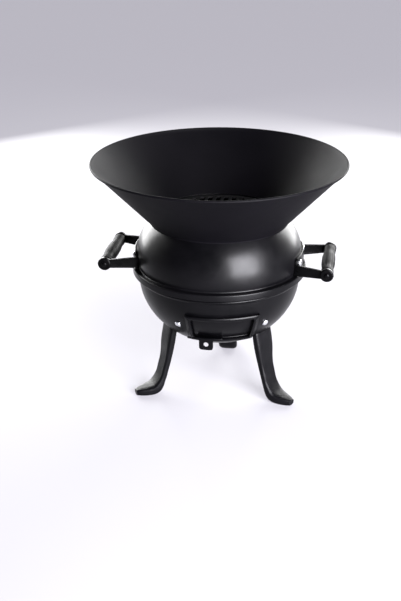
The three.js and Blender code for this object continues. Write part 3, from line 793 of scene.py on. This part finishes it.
backplate = piece("air_vent_backplate", [backplate_grid()], closed=False, away_from=ball_middle)
thicken(backplate, wall)
belongs(backplate, "base", enamel, "shell_paint", "vent_backplate")

# %% [markdown]
# ## Fire bowl
# The bowl is a cone of thin sheet with a short upright foot that sits round the neck and a rolled
# rim. Its section is drawn once, outside up and inside down, and turned about the axis.

# %% Fire bowl
bowl_seat = 128 * MM
rim_roll = 2.4 * MM
bowl_rim = bowl_high[0]
seat_z = float(
    shoulder_centre_z + math.sqrt(shoulder_radius ** 2 - (bowl_seat - shoulder_centre) ** 2)) + gap
rim_centre_z = bowl_high[2] - rim_roll
slope = math.atan2(bowl_rim - bowl_seat, rim_centre_z - seat_z)
roll = np.linspace(-2.2, 2.9, 22)
rim_curl = np.stack([bowl_rim - rim_roll + rim_roll * np.cos(roll),
                     rim_centre_z + rim_roll * np.sin(roll)], 1)
foot_outside = rounded([(bowl_seat, seat_z), (bowl_seat + 0.4 * MM, seat_z + 2.6 * MM), rim_curl[0]],
                       [0, 4 * MM, 0], closed=False)
foot_inside = rounded([(bowl_rim - 2 * rim_roll - wall / math.cos(slope), rim_centre_z - rim_roll),
                       (bowl_seat - wall + 0.6 * MM, seat_z + 3.6 * MM),
                       (bowl_seat - wall, seat_z + 1.0 * MM)], [0, 4 * MM, 0], closed=False)
bowl_section = np.concatenate([dense(foot_outside, 4 * MM)[:-1], rim_curl, dense(foot_inside, 4 * MM)])
bowl = piece("flared_fire_bowl", [surface(turned(bowl_section), wrap_rows=True, wrap_columns=True)])
belongs(bowl, "bowl", bowl_enamel, "bowl_paint", "fire_bowl")

# %% [markdown]
# ## Charcoal grate
# The grate is a flat casting with two rows of slots. A ring of section points carries the edge,
# and each bar is a long rounded box, so light catches its edges.

# %% Grate


def rounded_bar(start, end, width, thickness, z, rings=8):
    """A bar between two points in plan: a superellipse section, drawn in at both ends."""
    start, end = np.asarray(start, float), np.asarray(end, float)
    along = (end - start) / np.linalg.norm(end - start)
    side = np.array([-along[1], along[0]])
    u, v = squarish(20, 5)
    t = np.linspace(0, 1, rings)[:, None, None]
    middle = np.append(start, z) * (1 - t) + np.append(end, z) * t
    across = u[None, :, None] * np.append(side, 0) * width / 2
    return middle + across + v[None, :, None] * np.array([0, 0, thickness / 2])


grate_low, grate_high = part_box("charcoal_grate")
grate_radius = grate_high[0]
grate_thick = grate_high[2] - grate_low[2]
grate_z = (grate_high[2] + grate_low[2]) / 2
bar, slot_width, border = 6 * MM, 9 * MM, 9 * MM
ring_section = rounded([(grate_radius - border, grate_low[2]), (grate_radius, grate_low[2]),
                        (grate_radius, grate_high[2]), (grate_radius - border, grate_high[2])],
                       0.9 * MM, steps=4)
grate_parts = [surface(turned(ring_section, 160), wrap_rows=True, wrap_columns=True)]
pitch = bar + slot_width
inner_reach = grate_radius - border + 0.5 * MM
for number in range(-7, 8):
    middle = (number + 0.5) * pitch
    inner_edge = abs(middle) - bar / 2
    if inner_edge + bar > inner_reach:
        continue
    last = inner_edge + pitch + bar > inner_reach
    across = inner_reach - inner_edge if last else bar
    middle = math.copysign(inner_edge + across / 2, middle)
    reach = math.sqrt(inner_reach ** 2 - (inner_edge if last else abs(middle)) ** 2)
    tube = rounded_bar((middle, -reach), (middle, reach), across, grate_thick, grate_z)
    grate_parts += capped(tube)
tube = rounded_bar((-inner_reach, 0), (inner_reach, 0), bar, grate_thick, grate_z)
grate_parts += capped(tube)
grate = piece("cast_charcoal_grate", grate_parts)
belongs(grate, "grate", grate_iron, "cast_grate", "charcoal_grate")
for number in (1, 2, 3):
    repaint(f"grate_lug_{number}", enamel)

# %% [markdown]
# ## Legs
# A leg is a casting that leaves the ball, leans out and turns into a foot. Its section is a
# rounded box that changes along a centre line, with a shallow panel sunk in its outer face. The
# top is trimmed to the ball and the sole is flat on the floor.

# %% Legs
leg_knots = [(98, 144, 15, 48), (105, 105, 16.5, 46.5), (110.6, 70, 14, 38.2), (116.2, 49, 13.6, 36.6),
             (121.2, 32.5, 14, 36.2), (134, 11.3, 19.6, 37.4), (151, 6.6, 17, 31), (164, 5.8, 14, 22),
             (172.3, 5.3, 10, 14)]
panel_depth, panel_half = 0.8 * MM, 0.72
panel_start, panel_in, panel_end, panel_out = 0.1025, 0.005, 0.128, 0.012
leg_gap = 1.6 * gap
print("leg from", leg_knots[0][:2], "to", leg_knots[-1][:2], "mm from the axis and floor")


def leg_tube():
    """Rings of section points (w/2 u, t/2 v) across the centre line. The sunk panel takes
    depth (1 - (u / half)^8) off the outer face. The top is cut by the ball, the sole by the floor."""
    line = flowing(np.array(leg_knots) * MM, 120)
    r, z, thick, width = line.T
    slope = np.arctan2(np.gradient(r), -np.gradient(z))
    u, v = squarish(64, 3.6)
    panel = np.clip(1 - (np.abs(u) / panel_half) ** 8, 0, 1) * (v > 0)
    fade = np.clip((r - panel_start) / panel_in, 0, 1) * np.clip((panel_end - r) / panel_out, 0, 1)
    across = u[None, :] * width[:, None] / 2
    outward = v[None, :] * thick[:, None] / 2 - panel_depth * panel[None, :] * fade[:, None]
    points = np.stack([across, -(r[:, None] + outward * np.cos(slope)[:, None]),
                       z[:, None] + outward * np.sin(slope)[:, None]], -1)
    radius = np.hypot(points[..., 0], points[..., 1])
    roof = equator_z - lower_depth * np.sqrt(np.clip(1 - (radius / lower_radius) ** 2, 0, 1)) - leg_gap
    points[..., 2] = np.clip(points[..., 2], 0, roof)
    return points


leg_names = {"front_left": -60, "front_right": 60, "rear": 180}
for where, degrees in leg_names.items():
    tube = about_z(leg_tube(), math.radians(degrees))
    leg = piece(f"cast_leg_{where}", capped(tube), crease=60)
    belongs(leg, "base", leg_iron, "cast_legs", f"leg_{where}")

# %% [markdown]
# ## Fixings
# Dome-head bolts, hexagon nuts and washers hold the brazier together. A dome is a turned section.
# A nut is a hexagon whose corners are cut by a cone: its radius at angle a is the smaller of
# flat / 2 / cos(a) and the cone's.

# %% Fixings


def dome_bolt(length, head=6 * MM, height=3.4 * MM, shank=2.85 * MM):
    """Turned section of a dome head over a thin skirt, with its shank below z = 0."""
    b = np.linspace(0, np.pi / 2, 14)
    dome = np.stack([head * np.cos(b), 0.9 * MM + (height - 0.9 * MM) * np.sin(b)], 1)
    profile = np.concatenate([[(0, -length), (shank * 0.8, -length), (shank, -length + 0.8 * MM),
                               (shank, 0), (head - 0.3 * MM, 0), (head, 0.3 * MM)], dome])
    profile[-1, 0] = 0
    return turned(profile, 40)


def hexagon_nut(height=4.8 * MM, flat=10 * MM, bore=2.95 * MM):
    """Rings of a nut from its bore, over both chamfered faces, back to the bore."""
    a = np.linspace(0, TURN, 72, endpoint=False)
    hexagon = flat / 2 / np.cos((a + np.pi / 6) % (np.pi / 3) - np.pi / 6)
    cone = flat / 2 * 1.02
    wide = cone * 1.14
    stations = [(None, 0.0), (cone, 0.0), (wide, 0.09), (wide, 0.91), (cone, 1.0), (None, 1.0)]
    rings = []
    for limit, share in stations:
        radius = np.full_like(a, bore) if limit is None else np.minimum(hexagon, limit)
        rings.append(ring_points(radius, a, share * height))
    return np.stack(rings)


def fixing(name, rings, body, node, bored=False):
    """One fixing in zinc. A bored one, such as a nut, closes on itself through its hole."""
    made = piece(name, [surface(rings, wrap_rows=bored, wrap_columns=True)], crease=30)
    belongs(made, body, zinc, "zinc", node)


vent_bolt_z = 173 * MM
vent_bolt_side = math.radians(35.2)
head_play = 0.15 * MM
vent_nut_drop = 8.6 * MM
vent_bolt_r = float(ball_radius(vent_bolt_z))
vent_bolt_normal = tuple(float(value) for value in ball_normal(vent_bolt_z))
for side, sign in (("left", -1), ("right", 1)):
    angle = vent_turn + sign * vent_bolt_side
    seat = (vent_bolt_r, vent_bolt_z, vent_bolt_normal, angle)
    bolt = aimed(dome_bolt(13 * MM) + [0, 0, head_play], *seat)
    fixing(f"vent_dome_bolt_{side}", bolt, "base", f"vent_bolt_{side}")
    nut = aimed(hexagon_nut() - [0, 0, vent_nut_drop], *seat)
    fixing(f"vent_hexagon_nut_{side}", nut, "base", f"vent_nut_{side}", bored=True)
for where in leg_names:
    for node in (f"leg_bolt_{where}", f"leg_washer_{where}"):
        repaint(node, zinc)

# %% [markdown]
# ## Handles
# Each bracket is one casting: a curved plate that hugs the shoulder, two tapered arms with raised
# edges, and an eye at the end of each arm. The turned grip runs between the eyes on a steel rod.
# The right-hand set is drawn, and a half turn about the axis gives the left-hand one.

# %% Bracket
grip_low, grip_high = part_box("handle_grip_right")
grip_x = (grip_low[0] + grip_high[0]) / 2
grip_z = (grip_low[2] + grip_high[2]) / 2
grip_half = (grip_high[1] - grip_low[1]) / 2
eye_thick = 8 * MM
eye_y = grip_half + gap + eye_thick / 2
plate_z = (251 * MM, 281 * MM)
plate_angle = math.radians(20)
plate_thick = 4 * MM
plate_bolt_z = 270 * MM
plate_bolt_side = 14.5
plate_nut_drop = 6.9 * MM
arm_root_y = 52 * MM
arm_half_thick = 3.5 * MM
arm_sink = 2 * MM
print("grip line at x", round(grip_x, 4), "z", round(grip_z, 4), "half length", round(grip_half, 4))


def plate_surface():
    """Closed plate on the shoulder. A rounded outline shrinks to the middle on the back, grows
    again on the front, and the lift off the shoulder rounds the edge between them."""
    u, v = squarish(96, 7)
    stations = [(share, 0.3) for share in (0.02, 0.3, 0.6, 0.85, 1.0)]
    stations += [(1.0, 3.2), (0.992, 3.9), (0.97, 4.3)] + [(share, 4.3) for share in (0.85, 0.6, 0.3, 0.02)]
    middle, half = sum(plate_z) / 2, (plate_z[1] - plate_z[0]) / 2
    rings = []
    for share, lift in stations:
        r, z = shoulder_point(middle + half * share * v, lift * MM)
        angle = np.pi / 2 + plate_angle * share * u
        rings.append(ring_points(r, angle, z))
    return np.stack(rings)


def arm_surface(end):
    """Straight tapered arm. Its section is a rounded box whose web is thinner than its edges:
    half thickness = t/2 (0.58 + 0.42 |v|^5)."""
    on_shoulder = math.sqrt(float(shoulder_point(grip_z)[0]) ** 2 - arm_root_y ** 2)
    root = np.array([on_shoulder - arm_sink, end * arm_root_y])
    tip = np.array([grip_x - arm_sink, end * eye_y])
    along = (tip - root) / np.linalg.norm(tip - root)
    side = np.array([-along[1], along[0]])
    t = np.linspace(0, 1, 26)[:, None]
    u, v = squarish(56, 5)
    height = 22 * MM + (15.5 - 22) * MM * t
    web = 0.58 + 0.42 * np.abs(v) ** 5
    plan = (root + (tip - root) * t)[:, None, :] + (arm_half_thick * u * web)[None, :, None] * side
    return np.concatenate([plan, (grip_z + height / 2 * v)[..., None]], -1)


def eye_surface(end):
    """Disc turned about the grip's line, with a groove on each face and rounded rims."""
    half = eye_thick / 2
    face = [(3.4, 1.0), (6.0, 1.0), (6.4, 0.86), (8.0, 0.86), (8.4, 1.0), (10.7, 1.0), (11.8, 0.86),
            (12.3, 0.6)]
    outer = [(radius * MM, share * half) for radius, share in face]
    inner = [(radius * MM, -share * half) for radius, share in face[::-1]]
    return along_y(turned(outer + inner, 72)) + [grip_x, end * eye_y, grip_z]


def half_turn(points, side):
    """The right-hand set as it is, or turned to the left."""
    return points if side > 0 else about_z(points, math.pi)


for side_name, side in (("right", 1), ("left", -1)):
    parts = capped(half_turn(plate_surface(), side))
    for end in (-1, 1):
        parts += capped(half_turn(arm_surface(end), side))
        parts.append(surface(half_turn(eye_surface(end), side), wrap_rows=True, wrap_columns=True))
    bracket = piece(f"cast_bracket_{side_name}", parts, crease=45)
    belongs(bracket, "upper", bracket_gloss, "gloss_paint", f"handle_bracket_{side_name}")

# %% [markdown]
# ### Grips, rods and their fixings
# A grip is turned on a lathe: wide rounded ends, two waists and a swelling in the middle. The
# section is a smooth line through a few radii, mirrored about the middle.

# %% Grips and fixings


def grip_rings():
    """Radius along the grip: a smooth line through the lathe's marks, then the bore back."""
    marks = np.array([(0, 12.6), (0.28, 12.3), (0.58, 10.8), (0.8, 11.5), (0.93, 11.6)])
    half = flowing(np.stack([marks[:, 0] * grip_half, marks[:, 1] * MM], 1), 40)
    end = np.array([(0.965, 11.3), (0.988, 10.6), (1.0, 9.6), (1.0, 3.4)]) * [grip_half, MM]
    half = np.concatenate([half, end])
    whole = np.concatenate([half[::-1] * [-1, 1], half[1:]])
    return along_y(turned(whole[:, ::-1], 72)) + [grip_x, 0, grip_z]


def rod_rings():
    """Steel rod with a low dome head at the front end."""
    face = eye_y + eye_thick / 2 + gap
    b = np.linspace(0, np.pi / 2, 10)
    head_radius, shank = 4.6 * MM, 3 * MM
    head = np.stack([head_radius * np.cos(b), 0.8 * MM + 1.8 * MM * np.sin(b)], 1)[::-1]
    head[0, 0] = 0
    front = np.stack([head[:, 0], -face - head[:, 1]], 1)
    back = [(head_radius, -face), (shank, -face), (shank, face + 4.4 * MM), (2.4 * MM, face + 5 * MM),
            (0, face + 5 * MM)]
    return along_y(turned(np.concatenate([front, back]), 40)) + [grip_x, 0, grip_z]


def plate_fixing(rings, side, end, lift):
    """A fixing on the shoulder, lifted along its normal at the bolt's height."""
    r = float(shoulder_point(plate_bolt_z)[0])
    sine = (plate_bolt_z - shoulder_centre_z) / shoulder_radius
    normal = (math.sqrt(1 - sine ** 2), sine)
    angle = side * math.radians(90 + end * plate_bolt_side)
    return aimed(rings + [0, 0, lift], r, plate_bolt_z, normal, angle)


for side_name, side in (("right", 1), ("left", -1)):
    turned_grip = surface(half_turn(grip_rings(), side), wrap_rows=True, wrap_columns=True)
    grip = piece(f"turned_grip_{side_name}", [turned_grip], crease=50)
    belongs(grip, "upper", grip_wood, "stained_wood", f"handle_grip_{side_name}")
    mirrored = rod_rings() * [side, 1, 1]
    rod = piece(f"grip_rod_with_head_{side_name}", [surface(mirrored, wrap_columns=True)])
    belongs(rod, "upper", bracket_gloss, "gloss_paint", f"grip_rod_{side_name}")
    nut = along_y(hexagon_nut()) + [0, eye_y + eye_thick / 2 + gap, 0]
    nut = (nut + [grip_x, 0, grip_z]) * [side, 1, 1]
    fixing(f"grip_hexagon_nut_{side_name}", nut, "upper", f"grip_nut_{side_name}", bored=True)
    for end_name, end in (("front", -1), ("rear", 1)):
        where = f"{side_name}_{end_name}"
        bolt = plate_fixing(dome_bolt(16 * MM), side, end, plate_thick + gap + head_play)
        fixing(f"plate_dome_bolt_{where}", bolt, "upper", f"handle_bolt_{where}")
        nut = plate_fixing(hexagon_nut(), side, end, -plate_nut_drop)
        fixing(f"plate_hexagon_nut_{where}", nut, "upper", f"handle_nut_{where}", bored=True)

# %% [markdown]
# ## Studio
# The brazier stands on a pale floor in a high-key studio: the room behind it is white and the
# room in front is dark, so the black enamel shows bright edges and a dark middle. One soft box at
# the front right puts the broad highlight on the shoulder. Two more stand behind, low at the
# sides, and edge the ball.

# %% Floor


def studio_floor():
    """A flat square under the object: dark grey paper that looks pale by a light of its own."""
    half, drop = 60.0, 0.0002
    points = np.array([[[-half, -half, 0], [half, -half, 0]], [[-half, half, 0], [half, half, 0]]], float)
    made = piece("studio_floor", [surface(points)], closed=False)
    made.location.z = -drop
    paper, _, shader, _ = new_finish("studio_paper", 0.7, specular=0.2)
    shader.inputs["Base Color"].default_value = (0.12, 0.12, 0.12, 1)
    shader.inputs["Emission Color"].default_value = (0.90, 0.87, 1.0, 1)
    shader.inputs["Emission Strength"].default_value = 0.46
    made.data.materials.append(paper)
    return made


floor = studio_floor()
print("floor:", floor.name, "at z", round(floor.location.z, 5))

# %% Lights
aim_height = 0.26


def soft_box(name, azimuth, elevation, distance, width, height, power, colour=(1, 1, 1)):
    """A rectangular lamp at an azimuth from the front towards +X, aimed at the ball's middle."""
    lamp = bpy.data.lights.new(name, "AREA")
    lamp.shape = "RECTANGLE"
    lamp.size = width
    lamp.size_y = height
    lamp.energy = power
    lamp.color = colour
    made = bpy.data.objects.new(name, lamp)
    a, e = math.radians(azimuth), math.radians(elevation)
    middle = np.array([0, 0, aim_height])
    towards = np.array([math.sin(a) * math.cos(e), -math.cos(a) * math.cos(e), math.sin(e)])
    made.location = middle + distance * towards
    made.rotation_euler = (math.pi / 2 - e, 0, a)
    made.visible_camera = False
    bpy.context.collection.objects.link(made)


# name, azimuth and elevation in degrees, distance, width and height in metres, watts, colour
soft_box("front_right_box", 42, 9, 1.9, 1.2, 1.75, 410, (0.95, 0.94, 1.0))
soft_box("left_box", -136, 14, 1.8, 1.4, 1.1, 100)
soft_box("right_box", 152, 14, 1.8, 1.4, 1.1, 86)

world = bpy.data.worlds.new("studio_room")
bpy.context.scene.world = world
world.use_nodes = True
room = world.node_tree
backdrop = room.nodes["Background"]
direction = room.nodes.new("ShaderNodeTexCoord")
behind = room.nodes.new("ShaderNodeVectorMath")
behind.operation = "DOT_PRODUCT"
behind.inputs[1].default_value = (-math.sin(camera_turn), math.cos(camera_turn), -0.7)
room.links.new(direction.outputs["Generated"], behind.inputs[0])
share_behind = remap(room, behind.outputs["Value"], -1, 1, 0, 1)
shade = ramp(room, share_behind, [(0.28, (0.05, 0.05, 0.055)), (0.62, (1, 1, 1))])
room.links.new(shade, backdrop.inputs["Color"])
backdrop.inputs["Strength"].default_value = 0.8
bpy.context.scene.view_settings.view_transform = "Standard"
print("lights:", [item.name for item in bpy.data.lights])
